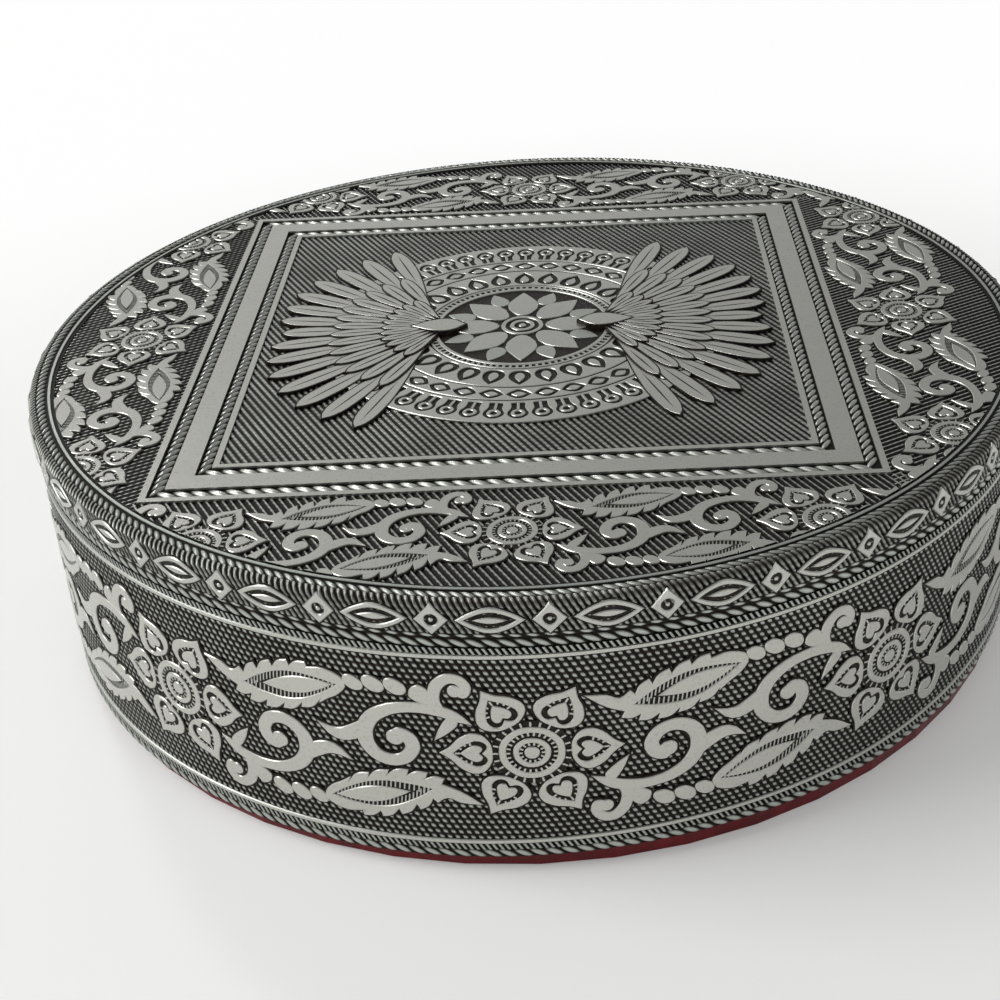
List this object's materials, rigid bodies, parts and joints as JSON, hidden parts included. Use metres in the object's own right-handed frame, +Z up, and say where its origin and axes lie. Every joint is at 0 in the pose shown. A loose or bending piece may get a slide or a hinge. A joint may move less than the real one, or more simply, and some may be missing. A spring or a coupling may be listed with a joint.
{
  "type": "trinket box",
  "caption": "Low round trinket box with a lift-off lid, covered in embossed oxidised white-metal sheet over a board carcass, with a velvet-lined inside and a dark red base edge.",
  "frame": {"origin": "centre of the underside, on the surface that the box stands on", "axes": "+Z up through the lid, -Y towards the front of the picture, +X to its right"},
  "size_m": [0.1806, 0.1806, 0.0506],
  "materials": {
    "metal": "embossed white-metal sheet, oxidised dark in the ground and bright on the relief",
    "lacquer": "glossy dark red lacquer",
    "board": "raw fibreboard",
    "velvet": "short-pile velvet",
    "felt": "thin felt"
  },
  "bodies": {
    "box": {"base_felt": "felt", "base_board": "lacquer", "wall_hoop": "board", "wall_sheet": "metal", "locating_collar": "velvet", "wall_lining": "velvet", "floor_pad": "velvet"},
    "lid": {"lid_board": "board", "lid_hoop": "board", "lid_top_sheet": "metal", "lid_rim_band": "metal", "lid_lining": "velvet"}
  },
  "joints": [
    {"name": "lid_lift", "type": "slide", "parent": "box", "child": "lid", "axis": [0, 0, 1], "range_m": [0, 0.08]}
  ]
}
